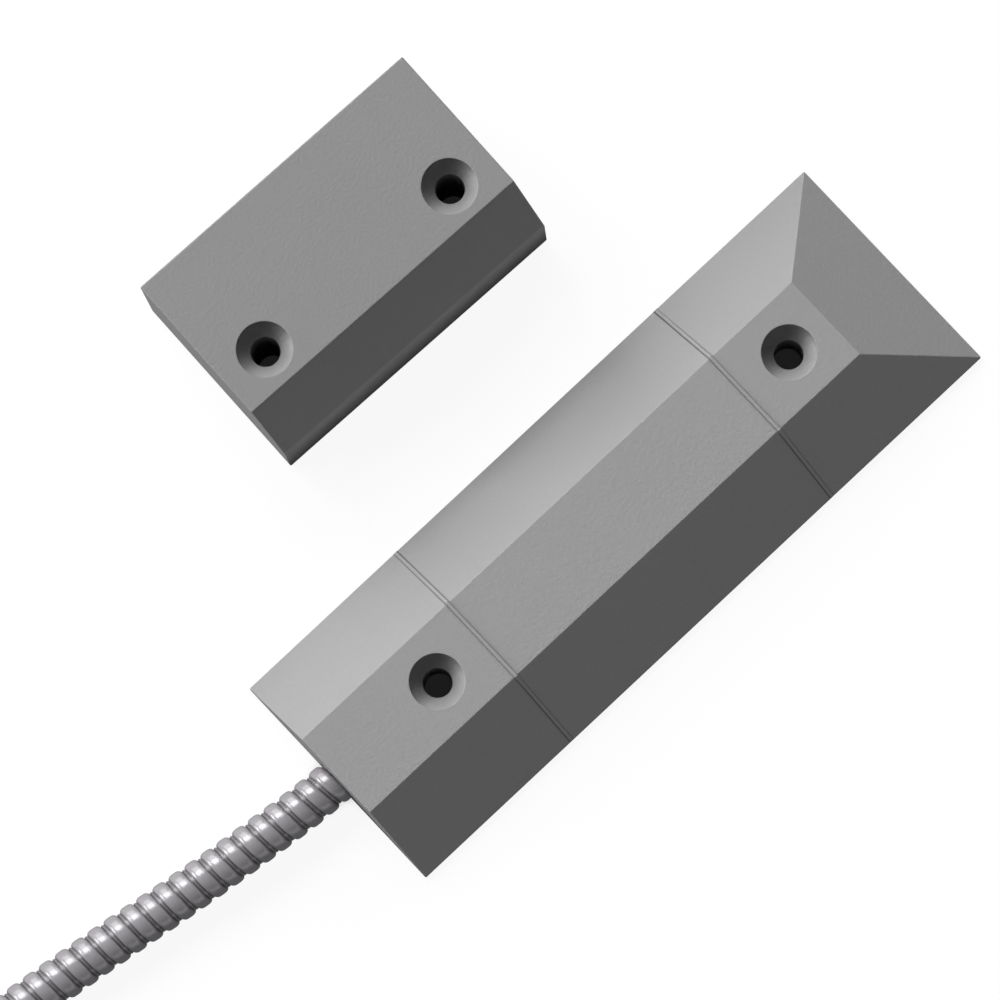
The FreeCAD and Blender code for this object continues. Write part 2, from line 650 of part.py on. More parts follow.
def build_switch():
    housing, hollow = make_switch_housing(switch_cavity())
    save("switch_housing", housing)
    blades = [reed_blade(-1), reed_blade(1)]
    cores, wires = make_inner_cores()
    pieces = {
        "circuit_board": make_circuit_board(),
        "reed_glass": make_reed_glass(blades),
        "reed_blade_a": blades[0],
        "reed_blade_b": blades[1],
        "solder_joints": Part.makeCompound(make_solder_joints(blades + wires)),
        "core_ends": Part.makeCompound(wires),
        "conduit_ferrule": make_ferrule(),
        "inner_cable": cylinder(JACKET_DIAMETER / 2, V(CONDUIT_INNER_X, 0, CONDUIT_AXIS_Z),
                                V(JACKET_END_X, 0, CONDUIT_AXIS_Z)),
    }
    for number, core in enumerate(cores, start=1):
        pieces["core_%d" % number] = core
    for node, shape in pieces.items():
        save(node, shape)
    armour_space = cylinder(CONDUIT_DIAMETER / 2, V(CAVITY_END_X, 0, CONDUIT_AXIS_Z),
                            V(CONDUIT_INNER_X, 0, CONDUIT_AXIS_Z))
    glass_space = cylinder(GLASS_DIAMETER / 2 - GLASS_WALL, V(-GLASS_LENGTH / 2 + GLASS_SEAL, 0, REED_AXIS_Z),
                           V(GLASS_LENGTH / 2 - GLASS_SEAL, 0, REED_AXIS_Z))
    set_in = list(pieces.values()) + [armour_space, glass_space]
    solids = [solid for shape in set_in for solid in shape.Solids]
    save("switch_potting", poured(hollow, solids))


def build_lead():
    save("lead_conduit", tube("lead_conduit", lead_points(), CONDUIT_DIAMETER))
    save("conduit_coil", make_conduit_coil())
    mean_radius = (coil_radius(0) + coil_radius(COIL_TURNS)) / 2
    print("coil length", round(2 * math.pi * mean_radius * COIL_TURNS, 1), "centre", coil_frame()[0])
    save("end_bush", make_end_bush())
    save("cable_tail", tube("cable_tail", tail_points(), JACKET_DIAMETER))
    for number, route in enumerate(tail_core_routes(), start=1):
        save("tail_core_%d" % number, tube("tail_core_%d" % number, route, CORE_DIAMETER))
        save("tail_tip_%d" % number, tail_tip(route))


def build_magnet():
    housing, hollow = make_magnet_housing(magnet_block(MAGNET_WALL, MAGNET_ROOF))
    cradle, bar, cradle_space = make_cradle_and_bar()
    potting = poured(hollow, [cradle_space])
    for node, shape in (("magnet_housing", housing), ("magnet_cradle", cradle), ("bar_magnet", bar),
                        ("magnet_potting", potting)):
        save(node, magnet_placed(shape))


os.makedirs("parts", exist_ok=True)
build_switch()
build_lead()
build_magnet()
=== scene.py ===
# %% [markdown]
# # Floor magnetic contact
# A door contact in two die-cast units: a low, hipped switch unit that is screwed to the floor, with
# an armoured lead out of its flat end, and a taller wedge with a magnet that is screwed to the
# door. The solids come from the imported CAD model. Blender adds the wound steel armour, the
# finishes, the light and the camera.

# %% Load the frame
import json
import math

import bmesh
import bpy
from mathutils import Matrix, Vector


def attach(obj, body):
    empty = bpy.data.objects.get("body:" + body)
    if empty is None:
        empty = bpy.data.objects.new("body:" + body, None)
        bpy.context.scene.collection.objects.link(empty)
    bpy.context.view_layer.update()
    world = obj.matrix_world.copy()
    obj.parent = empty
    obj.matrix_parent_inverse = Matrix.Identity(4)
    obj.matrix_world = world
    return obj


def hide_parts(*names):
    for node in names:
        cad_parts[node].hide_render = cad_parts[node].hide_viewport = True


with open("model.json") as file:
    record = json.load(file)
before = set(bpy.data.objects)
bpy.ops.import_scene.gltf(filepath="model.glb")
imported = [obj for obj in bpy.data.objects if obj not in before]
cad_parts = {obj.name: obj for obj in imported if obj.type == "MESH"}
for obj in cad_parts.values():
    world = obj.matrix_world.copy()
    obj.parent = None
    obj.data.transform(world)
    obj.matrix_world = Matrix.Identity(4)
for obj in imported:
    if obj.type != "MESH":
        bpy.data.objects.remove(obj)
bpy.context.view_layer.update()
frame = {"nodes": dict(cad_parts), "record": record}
MM = 0.001
print("nodes in the frame:", len(frame["nodes"]))

# %% [markdown]
# ## Camera
# The photograph looks almost straight down from about a metre away, turned so that the switch unit
# runs from the lower left to the upper right. Its place, turn and lens were worked out from the
# corners of both units. The two directions below are the picture's right and its up. The third,
# back towards the viewer, follows from them.

# %% Camera
CAMERA_PLACE = Vector((-65.808, -75.185, 994.436)) * MM
PICTURE_RIGHT = Vector((0.729921, -0.683251, -0.019586))
PICTURE_UP = Vector((0.68119, 0.724752, 0.103509))
SENSOR_WIDTH = 36
CAMERA_LENS = 253.43
SIGHT_LIMIT = 20

camera_data = bpy.data.cameras.new("photo_camera")
camera_data.sensor_width = SENSOR_WIDTH
camera_data.lens = CAMERA_LENS
camera_data.clip_end = SIGHT_LIMIT
camera = bpy.data.objects.new("photo_camera", camera_data)
bpy.context.scene.collection.objects.link(camera)
picture_back = PICTURE_RIGHT.cross(PICTURE_UP).normalized()
picture_up = picture_back.cross(PICTURE_RIGHT).normalized()
turn = Matrix((PICTURE_RIGHT.normalized(), picture_up, picture_back)).transposed()
camera.matrix_world = Matrix.Translation(CAMERA_PLACE) @ turn.to_4x4()
bpy.context.scene.camera = camera
print("camera", round(CAMERA_PLACE.length, 3), "m from the origin, lens", CAMERA_LENS, "mm")

# %% [markdown]
# ## The lead's route
# The lead is one fixed length of armoured cable, 0.6 m as such contacts have. It leaves the flat
# end of the switch unit, sinks to the floor and runs off in a gentle curve. The length that the
# photograph doesn't show is put away in a flat spiral just outside the view. A NURBS curve of order
# 3 passes smoothly between its control points, so the points can be few. On the spiral it cuts
# inside them, so they stand a little further out, by one over the cosine of half a step. All
# places here are in millimetres.

# %% Route of the armoured lead
LEAD_POINTS = [(-46.1, 0, 4.6), (-55.3, 0, 4.6), (-66.3, 1.25, 4.2), (-79.1, 2.95, 3.55),
               (-93.1, 5.25, 3.3), (-108.1, 7.3, 3.3), (-124.6, 9.1, 3.3)]
COIL_START = Vector((-140.6, 10.6, 3.3))
COIL_START_RADIUS = 43.3
COIL_PITCH = 6.7
COIL_TURNS = 2.25
POINTS_PER_TURN = 16

heading = (COIL_START - Vector(LEAD_POINTS[-1])).normalized()
towards_centre = Vector((heading.y, -heading.x, 0))
coil_centre = COIL_START + towards_centre * COIL_START_RADIUS
start_angle = math.atan2(-towards_centre.y, -towards_centre.x)


def coil_point(turns, outset):
    """A point of the spiral after so many turns, with its radius times the outset."""
    angle = start_angle - 2 * math.pi * turns
    radius = (COIL_START_RADIUS - COIL_PITCH * turns) * outset
    return coil_centre + Vector((math.cos(angle), math.sin(angle), 0)) * radius


stretch = 1 / math.cos(math.pi / POINTS_PER_TURN)
coil_steps = round(COIL_TURNS * POINTS_PER_TURN)
lead_end = coil_point(COIL_TURNS, 1)
lead_route = [Vector(point) for point in LEAD_POINTS]
lead_route += [coil_point((step + 0.5) / POINTS_PER_TURN, stretch) for step in range(coil_steps)]
lead_route.append(lead_end)
print("lead route:", len(lead_route), "points, the coil's centre at",
      [round(value, 1) for value in coil_centre])

# %% Route of the bare cable beyond the armour
# The points are measured from the coil's centre; the first stretch runs straight through the bush
TAIL_POINTS = [(-27.1, 9.3, -0.4), (-23.0, 17.2, -1.45), (-15.6, 22.0, -1.45),
               (-6.6, 23.0, -1.45), (2.4, 20.3, -1.45)]
TAIL_STRAIGHT = 3.6

end_angle = start_angle - 2 * math.pi * COIL_TURNS
end_heading = Vector((math.sin(end_angle), -math.cos(end_angle), 0))
tail_route = [lead_end, lead_end + end_heading * TAIL_STRAIGHT]
tail_route += [coil_centre + Vector(point) for point in TAIL_POINTS]
print("tail route:", len(tail_route), "points")

# %% Turn a route into a spline, and read its points back
SPLINE_ORDER = 3
SPLINE_RESOLUTION = 12


def spline_through(name, route):
    """A NURBS curve object with the route, in millimetres, as its control points."""
    curve = bpy.data.curves.new(name, "CURVE")
    curve.dimensions = "3D"
    curve.resolution_u = SPLINE_RESOLUTION
    spline = curve.splines.new("NURBS")
    spline.points.add(len(route) - 1)
    for knot, place in zip(spline.points, route):
        knot.co = (*(place * MM), 1)
    spline.order_u = SPLINE_ORDER
    spline.use_endpoint_u = True
    return bpy.data.objects.new(name, curve)


def points_along(name, route):
    """The route's spline as a mesh of edges, as a plain list of points, and its length."""
    helper = spline_through(name, route)
    bpy.context.scene.collection.objects.link(helper)
    bpy.context.view_layer.update()
    depsgraph = bpy.context.evaluated_depsgraph_get()
    line = bpy.data.meshes.new_from_object(helper.evaluated_get(depsgraph))
    places = [vertex.co.copy() for vertex in line.vertices]
    bpy.data.objects.remove(helper)
    length = sum((b - a).length for a, b in zip(places, places[1:]))
    print(name, "spline is", round(length / MM, 1), "mm long, read at", len(places), "points")
    return line, places, length


lead_line, lead_path, lead_length = points_along("lead_route", lead_route)
tail_line, tail_path, tail_length = points_along("tail_route", tail_route)


# %% [markdown]
# ## Helpers for node trees
# Geometry trees and shader trees are built with the same few calls. One adds a node and sets or
# links its inputs. Five more give a sum, a vector, a value in a new range, a mixed colour or one of
# two values as a single socket, and one finds the socket that feeds a shader's input. The rest open
# a tree with named inputs and outputs, and run it on a mesh.

# %% Node helpers
def add(tree, kind, inputs=None, **settings):
    """Add a node, set its properties, and set or link its inputs by name or number."""
    node = tree.nodes.new(kind)
    for key, value in settings.items():
        setattr(node, key, value)
    for key, value in (inputs or {}).items():
        if isinstance(value, bpy.types.NodeSocket):
            tree.links.new(value, node.inputs[key])
        else:
            node.inputs[key].default_value = value
    return node


def maths(tree, operation, first, second=0.0):
    """A Math node's result, from two numbers or sockets."""
    return add(tree, "ShaderNodeMath", {0: first, 1: second}, operation=operation).outputs[0]


def vector(tree, operation, inputs):
    """A Vector Math node's result."""
    return add(tree, "ShaderNodeVectorMath", inputs, operation=operation).outputs[0]


def ranged(tree, value, source, target, **settings):
    """A value carried from the source range to the target range, and held at its ends."""
    return add(tree, "ShaderNodeMapRange", {
        "Value": value, "From Min": source[0], "From Max": source[1],
        "To Min": target[0], "To Max": target[1]}, **settings).outputs[0]


def mixed(tree, factor, first, second):
    """Two colours or sockets mixed by a factor."""
    return add(tree, "ShaderNodeMix", {"Factor": factor, 6: first, 7: second},
               data_type="RGBA").outputs[2]


def chosen(tree, factor, first, second):
    """The first value where the factor is 0, the second where it is 1."""
    return add(tree, "ShaderNodeMix", {"Factor": factor, "A": first, "B": second}).outputs["Result"]


def feeding(shader, label):
    """The socket that feeds one of the shader's inputs."""
    return shader.inputs[label].links[0].from_socket


def open_tree(name, kind, inputs, outputs):
    """A node group with named sockets; gives the tree, its input node and its output node."""
    tree = bpy.data.node_groups.new(name, kind)
    for label, socket, default in inputs:
        made = tree.interface.new_socket(label, in_out="INPUT", socket_type=socket)
        if default is not None:
            made.default_value = default
    for label, socket in outputs:
        tree.interface.new_socket(label, in_out="OUTPUT", socket_type=socket)
    return tree, tree.nodes.new("NodeGroupInput"), tree.nodes.new("NodeGroupOutput")


def input_id(tree, label):
    """A modifier finds its inputs by identifier, and not by name."""
    return next(item.identifier for item in tree.interface.items_tree
                if item.name == label and item.in_out == "INPUT")


def grown(name, mesh, tree, values):
    """Run a geometry tree on a mesh and keep the plain result as a new object at the origin."""
    holder = bpy.data.objects.new(name + "_holder", mesh)
    bpy.context.scene.collection.objects.link(holder)
    modifier = holder.modifiers.new("tree", "NODES")
    modifier.node_group = tree
    for label, value in values.items():
        modifier[input_id(tree, label)] = value
    bpy.context.view_layer.update()
    depsgraph = bpy.context.evaluated_depsgraph_get()
    result = bpy.data.meshes.new_from_object(holder.evaluated_get(depsgraph), depsgraph=depsgraph)
    bpy.data.objects.remove(holder)
    result.name = name
    piece = bpy.data.objects.new(name, result)
    bpy.context.scene.collection.objects.link(piece)
    print(name, "has", len(result.polygons), "faces")
    return piece


# %% [markdown]
# ## Surface effects that several finishes share
# No real surface is one flat colour. This group gives a finish its slow change from patch to patch
# and its fine grain. It puts out a colour, a roughness and a height, and each material places it
# with its own values, so cast metal, plastic and resin can all use it.

# %% Shared shader group: patches and grain
PATCH_DETAIL, PATCH_ROUGHNESS = 3.0, 0.55
GRAIN_DETAIL, GRAIN_ROUGHNESS = 2.0, 0.6
GRAIN_PIT = (0.02, 0.02, 0.02, 1)

surface, into, out = open_tree(
    "patches_and_grain", "ShaderNodeTree",
    [("Color", "NodeSocketColor", (0.5, 0.5, 0.5, 1)),
     ("Patch Color", "NodeSocketColor", (0.4, 0.4, 0.4, 1)),
     ("Patches Per Metre", "NodeSocketFloat", 60.0), ("Patch Share", "NodeSocketFloat", 0.4),
     ("Grain Per Metre", "NodeSocketFloat", 2500.0), ("Grain Share", "NodeSocketFloat", 0.1),
     ("Roughness", "NodeSocketFloat", 0.5), ("Roughness Spread", "NodeSocketFloat", 0.08)],
    [("Color", "NodeSocketColor"), ("Roughness", "NodeSocketFloat"),
     ("Height", "NodeSocketFloat")])
position = add(surface, "ShaderNodeTexCoord").outputs["Object"]
patches = add(surface, "ShaderNodeTexNoise", {
    "Vector": position, "Scale": into.outputs["Patches Per Metre"],
    "Detail": PATCH_DETAIL, "Roughness": PATCH_ROUGHNESS}).outputs["Fac"]
grain = add(surface, "ShaderNodeTexNoise", {
    "Vector": position, "Scale": into.outputs["Grain Per Metre"],
    "Detail": GRAIN_DETAIL, "Roughness": GRAIN_ROUGHNESS}).outputs["Fac"]
patch_mask = maths(surface, "MULTIPLY", patches, into.outputs["Patch Share"])
patched = mixed(surface, patch_mask, into.outputs["Color"], into.outputs["Patch Color"])
grain_mask = maths(surface, "MULTIPLY", grain, into.outputs["Grain Share"])
swing = maths(surface, "SUBTRACT", patches, 0.5)
rough = add(surface, "ShaderNodeMath", {
    0: swing, 1: into.outputs["Roughness Spread"], 2: into.outputs["Roughness"]},
    operation="MULTIPLY_ADD")
surface.links.new(mixed(surface, grain_mask, patched, GRAIN_PIT), out.inputs["Color"])
surface.links.new(rough.outputs[0], out.inputs["Roughness"])
surface.links.new(grain, out.inputs["Height"])
print("shared group with", len(surface.nodes), "nodes")


# %% A finish made with the shared group
def finish(name, color, patch_color, values, bump=0.1, bump_height=0.00002, **principled):
    """A material whose Principled shader takes colour, roughness and bump from the shared group."""
    material = bpy.data.materials.new(name)
    material.use_nodes = True
    tree = material.node_tree
    shader = tree.nodes["Principled BSDF"]
    shared = add(tree, "ShaderNodeGroup", node_tree=surface)
    shared.inputs["Color"].default_value = (*color, 1)
    shared.inputs["Patch Color"].default_value = (*patch_color, 1)
    for key, value in values.items():
        shared.inputs[key].default_value = value
    relief = add(tree, "ShaderNodeBump", {
        "Strength": bump, "Distance": bump_height, "Height": shared.outputs["Height"]})
    tree.links.new(shared.outputs["Color"], shader.inputs["Base Color"])
    tree.links.new(shared.outputs["Roughness"], shader.inputs["Roughness"])
    tree.links.new(relief.outputs["Normal"], shader.inputs["Normal"])
    for key, value in principled.items():
        shader.inputs[key.replace("_", " ")].default_value = value
    material.diffuse_color = (*color, 1)
    return material


# %% [markdown]
# ## Finishes
# The housings are die-cast and blasted, a soft mid grey with a fine even grain. The armour is drawn
# steel strip with a cool, slightly violet grey and clear highlights. The bush, the bare cable and
# its tinned cores lie outside the photograph's view. The other finishes are seen only from below or
# inside: black casting resin, a green board, solder, brass, plastic, glass and ferrite.

# %% Metal finishes
CAST_METALLIC = 0.15

cast_metal = finish(
    "cast_aluminium", (0.33, 0.33, 0.33), (0.29, 0.29, 0.29),
    {"Patches Per Metre": 55.0, "Patch Share": 0.5, "Grain Per Metre": 2000.0, "Grain Share": 0.08,
     "Roughness": 0.62, "Roughness Spread": 0.06},
    bump=0.6, bump_height=0.00008, Metallic=CAST_METALLIC)
armour_steel = finish(
    "armour_steel", (0.37, 0.355, 0.375), (0.32, 0.305, 0.325),
    {"Patches Per Metre": 300.0, "Patch Share": 0.3, "Grain Per Metre": 6000.0,
     "Grain Share": 0.05, "Roughness": 0.24, "Roughness Spread": 0.06},
    bump=0.1, bump_height=0.00001, Metallic=0.18)
tinned_wire = finish(
    "tinned_wire", (0.78, 0.77, 0.75), (0.6, 0.58, 0.55),
    {"Patches Per Metre": 900.0, "Roughness": 0.3}, Metallic=1.0)
solder = finish(
    "solder", (0.75, 0.75, 0.77), (0.6, 0.6, 0.6),
    {"Patches Per Metre": 700.0, "Roughness": 0.25}, Metallic=1.0)
reed_metal = finish(
    "reed_metal", (0.7, 0.68, 0.62), (0.6, 0.58, 0.5),
    {"Patches Per Metre": 500.0, "Roughness": 0.28}, Metallic=1.0)
turned_brass = finish(
    "turned_brass", (0.72, 0.56, 0.27), (0.6, 0.43, 0.2),
    {"Patches Per Metre": 300.0, "Roughness": 0.3}, Metallic=1.0)
ferrite = finish(
    "ferrite", (0.06, 0.06, 0.065), (0.09, 0.085, 0.08),
    {"Patches Per Metre": 400.0, "Grain Per Metre": 5000.0, "Roughness": 0.55},
    bump=0.3, Metallic=0.4)
print("metal finishes made")

# %% Painted shade with grime between the armour's turns: the colour darkens with the strip's own depth value
GROOVE_SHADE_AND_DIRT = (0.02, 0.02, 0.022, 1)
SHADE_FROM_DEPTH = (0.4, 1.0)
GROOVE_SHADE_SHARE = 0.85

tree = armour_steel.node_tree
shader = tree.nodes["Principled BSDF"]
groove_value = add(tree, "ShaderNodeAttribute", attribute_name="groove").outputs["Fac"]
# Painted shade with grime: the deeper points of the strip go towards near black
groove_shade_and_dirt = ranged(tree, groove_value, SHADE_FROM_DEPTH, (0.0, GROOVE_SHADE_SHARE))
groove_shaded = mixed(tree, groove_shade_and_dirt, feeding(shader, "Base Color"), GROOVE_SHADE_AND_DIRT)
tree.links.new(groove_shaded, shader.inputs["Base Color"])
print("dirt in the grooves up to a share of", GROOVE_SHADE_SHARE)

# %% [markdown]
# The castings carry three marks more, each placed by the part's own coordinates: painted shade in
# fine
#  lines beside the ribs, painted shade over the magnet unit, and the turned screw holes with
#  painted shade on their far side.

# %% Painted shade: fine dark lines in the creases along the ribs' sides, stronger on the cable side
RIB_PLACE = 25.3
RIB_SIDE = 0.31
LINE_WIDTH = 0.18
LINE_CORE, LINE_EDGE = 0.25, 0.75
LINES_REACH = 18.6
CABLE_SIDE_CREASE_SHADE = 0.45
HIP_SIDE_CREASE_SHADE = 0.24

tree = cast_metal.node_tree
shader = tree.nodes["Principled BSDF"]
object_place = add(tree, "ShaderNodeTexCoord").outputs["Object"]
on_set = add(tree, "ShaderNodeSeparateXYZ", {0: object_place}).outputs


def crease_shade_line(offset, darkness):
    """A painted shade mask along one side of both ribs, this far along X from the rib's middle."""
    gaps = [maths(tree, "ABSOLUTE", maths(tree, "SUBTRACT", on_set["X"], (rib + offset) * MM))
            for rib in (-RIB_PLACE, RIB_PLACE)]
    return ranged(tree, maths(tree, "MINIMUM", *gaps),
                  (LINE_CORE * LINE_WIDTH * MM, LINE_EDGE * LINE_WIDTH * MM), (darkness, 0.0),
                  interpolation_type="SMOOTHSTEP")


# Painted shade in the creases, stronger on each rib's cable side
lines = maths(tree, "MAXIMUM", crease_shade_line(-RIB_SIDE, CABLE_SIDE_CREASE_SHADE),
              crease_shade_line(RIB_SIDE, HIP_SIDE_CREASE_SHADE))
within = maths(tree, "LESS_THAN", maths(tree, "ABSOLUTE", on_set["Y"]), LINES_REACH * MM)
rib_crease_shade = maths(tree, "MULTIPLY", lines, within)
print("lines along the ribs' sides at", RIB_PLACE, "mm")

# %% Painted shade on the magnet unit: its casting is darkened apart from the cable-side end wall, and its front darkens towards the floor
MAGNET_STAND = Vector((-3.24, 37.0, 0))
MAGNET_TURN = -1.49
MAGNET_FRONT = 0.1
MAGNET_FRONT_HEIGHT = 12.1
MAGNET_CABLE_END = -24.3
BEFORE_MAGNET = -1.0
FRONT_BAND = 0.35
MAGNET_SHADE = 0.21
FRONT_SHADE = 0.73
FRONT_SHADE_CURVE = 1.6
PAINTED_SHADE_COLOR = (0.025, 0.025, 0.025, 1)

own_place = add(tree, "ShaderNodeMapping", {
    "Vector": object_place, "Location": MAGNET_STAND * MM,
    "Rotation": (0, 0, math.radians(MAGNET_TURN))}, vector_type="TEXTURE").outputs["Vector"]
on_magnet = add(tree, "ShaderNodeSeparateXYZ", {0: own_place}).outputs
is_magnet = maths(tree, "GREATER_THAN", on_magnet["Y"], BEFORE_MAGNET * MM)
off_end = maths(tree, "GREATER_THAN", on_magnet["X"], MAGNET_CABLE_END * MM)
# Painted shade over the magnet unit, apart from its cable-side end wall
magnet_painted_shade = maths(tree, "MULTIPLY", maths(tree, "MULTIPLY", is_magnet, off_end), MAGNET_SHADE)
from_front = maths(tree, "SUBTRACT", on_magnet["Y"], MAGNET_FRONT * MM)
on_front = maths(tree, "LESS_THAN", maths(tree, "ABSOLUTE", from_front), FRONT_BAND * MM)
# Painted shade down the magnet unit's front, strongest at the floor
down = ranged(tree, on_magnet["Z"], (MAGNET_FRONT_HEIGHT * MM, 0.0), (0.0, 1.0))
front_painted_shade = maths(tree, "MULTIPLY", maths(tree, "POWER", down, FRONT_SHADE_CURVE), FRONT_SHADE)
shade = maths(tree, "MAXIMUM", rib_crease_shade, chosen(tree, on_front, magnet_painted_shade, front_painted_shade))
shaded = mixed(tree, shade, feeding(shader, "Base Color"), PAINTED_SHADE_COLOR)
print("magnet unit's front shaded over", MAGNET_FRONT_HEIGHT, "mm")

# %% The screw holes are cut after the casting: turned metal and fine rings, with painted shade on the far side
SINK_DIAMETER = 7.9
SWITCH_HOLES = (33.85, 0.0)
MAGNET_HOLES = (17.2, 11.95)
RING_STEP = 0.3
RING_RIDGE = (0.335, 0.335, 0.335, 1)
RING_GROOVE = (0.31, 0.31, 0.31, 1)
FAR_SIDE_FROM = -1.0
FAR_SIDE_SHADE = 0.68
TURNED_ROUGHNESS = 0.55
TURNED_METALLIC = 0.4
sink_radius = SINK_DIAMETER / 2 * MM


def hole_distance(part, along, across):
    """How far a point is from the nearest of two hole axes, at plus and minus a place along X."""
    dx = maths(tree, "SUBTRACT", maths(tree, "ABSOLUTE", part["X"]), along * MM)
    dy = maths(tree, "SUBTRACT", part["Y"], across * MM)
    squares = maths(tree, "ADD", maths(tree, "MULTIPLY", dx, dx), maths(tree, "MULTIPLY", dy, dy))
    return maths(tree, "SQRT", squares)


distance = maths(tree, "MINIMUM", hole_distance(on_set, *SWITCH_HOLES),
                 hole_distance(on_magnet, *MAGNET_HOLES))
turned = maths(tree, "LESS_THAN", distance, sink_radius)
wave = maths(tree, "SINE", maths(tree, "MULTIPLY", distance, 2 * math.pi / (RING_STEP * MM)))
rings = maths(tree, "MULTIPLY", maths(tree, "ADD", wave, 1.0), 0.5)
ring_color = mixed(tree, rings, RING_RIDGE, RING_GROOVE)
# Painted shade on the cones' far side, growing towards plus Y
off_axis = chosen(tree, is_magnet, on_set["Y"],
                  maths(tree, "SUBTRACT", on_magnet["Y"], MAGNET_HOLES[1] * MM))
cone_painted_shade = ranged(tree, off_axis, (FAR_SIDE_FROM * MM, sink_radius), (0.0, FAR_SIDE_SHADE))
cone_color = mixed(tree, cone_painted_shade, ring_color, PAINTED_SHADE_COLOR)
tree.links.new(mixed(tree, turned, shaded, cone_color), shader.inputs["Base Color"])
roughness = chosen(tree, turned, feeding(shader, "Roughness"), TURNED_ROUGHNESS)
tree.links.new(roughness, shader.inputs["Roughness"])
metallic = ranged(tree, turned, (0.0, 1.0), (CAST_METALLIC, TURNED_METALLIC))
tree.links.new(metallic, shader.inputs["Metallic"])
print("turned metal within", SINK_DIAMETER / 2, "mm of the holes' axes")

# %% Resin, board, plastic and glass finishes
CORE_PATCH_SHARE = 0.8
CORE_COLORS = {"core_red": (0.6, 0.03, 0.03), "core_black": (0.02, 0.02, 0.02),
               "core_white": (0.8, 0.8, 0.78), "core_green": (0.03, 0.3, 0.08)}

potting_resin = finish(
    "potting_resin", (0.02, 0.02, 0.022), (0.045, 0.045, 0.045),
    {"Patches Per Metre": 120.0, "Patch Share": 0.7, "Roughness": 0.35, "Roughness Spread": 0.2},
    bump=0.05)
board_laminate = finish(
    "board_laminate", (0.05, 0.22, 0.09), (0.04, 0.17, 0.06),
    {"Patches Per Metre": 200.0, "Grain Per Metre": 3000.0, "Roughness": 0.4})
cable_jacket = finish(
    "cable_jacket", (0.55, 0.55, 0.56), (0.48, 0.48, 0.5),
    {"Patches Per Metre": 150.0, "Grain Per Metre": 4000.0, "Roughness": 0.45})
bush_plastic = finish(
    "bush_plastic", (0.03, 0.03, 0.03), (0.05, 0.05, 0.05),
    {"Patches Per Metre": 250.0, "Roughness": 0.5})
cradle_plastic = finish(
    "cradle_plastic", (0.75, 0.75, 0.72), (0.65, 0.65, 0.6),
    {"Patches Per Metre": 150.0, "Roughness": 0.5})
core_finishes = {
    name: finish(name, color, tuple(CORE_PATCH_SHARE * part for part in color),
                 {"Patches Per Metre": 300.0, "Grain Share": 0.04, "Roughness": 0.3})
    for name, color in CORE_COLORS.items()}
reed_glass = finish(
    "reed_glass", (0.75, 0.85, 0.78), (0.7, 0.8, 0.75),
    {"Patches Per Metre": 100.0, "Grain Share": 0.0, "Roughness": 0.03, "Roughness Spread": 0.02},
    bump=0.02, Transmission_Weight=1.0, IOR=1.5)
print("finishes in all:", len([item for item in bpy.data.materials if item.use_nodes]))

# %% [markdown]
# ## The wound armour
# The armour is one steel strip, wound into a right-handed screw whose turns lock together: a broad,
# gently rounded ridge, then a narrow groove where the next turn begins. The tree lays a grid of
# points: one way it follows the screw round the lead, the other way it crosses one turn of strip.
# Each point is then carried to its place on the route. The end of one turn meets the start of the
# next, so a merge closes the surface. Two drawn curves hold the strip's cross-section.

# %% Geometry tree: a strip wound along a path
EXTRA_TURNS = 2.0

wound, into, out = open_tree(
    "wound_strip", "GeometryNodeTree",
    [("Path", "NodeSocketGeometry", None), ("Length", "NodeSocketFloat", 0.6),
     ("Radius", "NodeSocketFloat", 0.00325), ("Pitch", "NodeSocketFloat", 0.00275),
     ("Groove Depth", "NodeSocketFloat", 0.0005), ("First Turn", "NodeSocketFloat", 0.85),
     ("Steps Around", "NodeSocketInt", 28), ("Steps Across", "NodeSocketInt", 15),
     ("Finish", "NodeSocketMaterial", None)],
    [("Geometry", "NodeSocketGeometry")])
wanted = into.outputs
turns = maths(wound, "ADD", maths(wound, "DIVIDE", wanted["Length"], wanted["Pitch"]), EXTRA_TURNS)
steps = maths(wound, "CEIL", maths(wound, "MULTIPLY", turns, wanted["Steps Around"]))
grid = add(wound, "GeometryNodeMeshGrid", {
    "Size X": 1.0, "Size Y": 1.0, "Vertices X": steps, "Vertices Y": wanted["Steps Across"]})
number = add(wound, "GeometryNodeInputIndex").outputs[0]
row = maths(wound, "FLOOR", maths(wound, "DIVIDE", maths(wound, "ADD", number, 0.5),
                                  wanted["Steps Across"]))
column = maths(wound, "SUBTRACT", number, maths(wound, "MULTIPLY", row, wanted["Steps Across"]))
share = maths(wound, "DIVIDE", column, maths(wound, "SUBTRACT", wanted["Steps Across"], 1.0))
around = maths(wound, "DIVIDE", row, wanted["Steps Around"])
across = add(wound, "ShaderNodeFloatCurve", {"Value": share})
depth = add(wound, "ShaderNodeFloatCurve", {"Value": share})
print("the tree lays", "steps around x steps across", "points for each turn")

# %% The strip's cross-section
# Each entry: how far across the turn, and how deep in the groove (0 on the ridge, 1 at the bottom)
STRIP_SECTION = [
    (0.0, 1.0), (0.02, 0.78), (0.05, 0.52), (0.09, 0.3), (0.14, 0.13), (0.2, 0.04), (0.3, 0.0),
    (0.5, 0.0), (0.6, 0.04), (0.67, 0.15), (0.73, 0.34), (0.77, 0.56), (0.8, 1.0), (0.86, 0.68),
    (0.94, 0.68), (1.0, 1.0)]


def draw(curve_node, heights):
    """Set a Float Curve's evenly spaced points; straight handles keep the corners as drawn."""
    curve = curve_node.mapping.curves[0]
    last = len(heights) - 1
    places = [(index / last, height) for index, height in enumerate(heights)]
    for x, y in places[1:-1]:
        curve.points.new(x, y)
    for point, place in zip(curve.points, places):
        point.location = place
        point.handle_type = "VECTOR"
    curve_node.mapping.update()


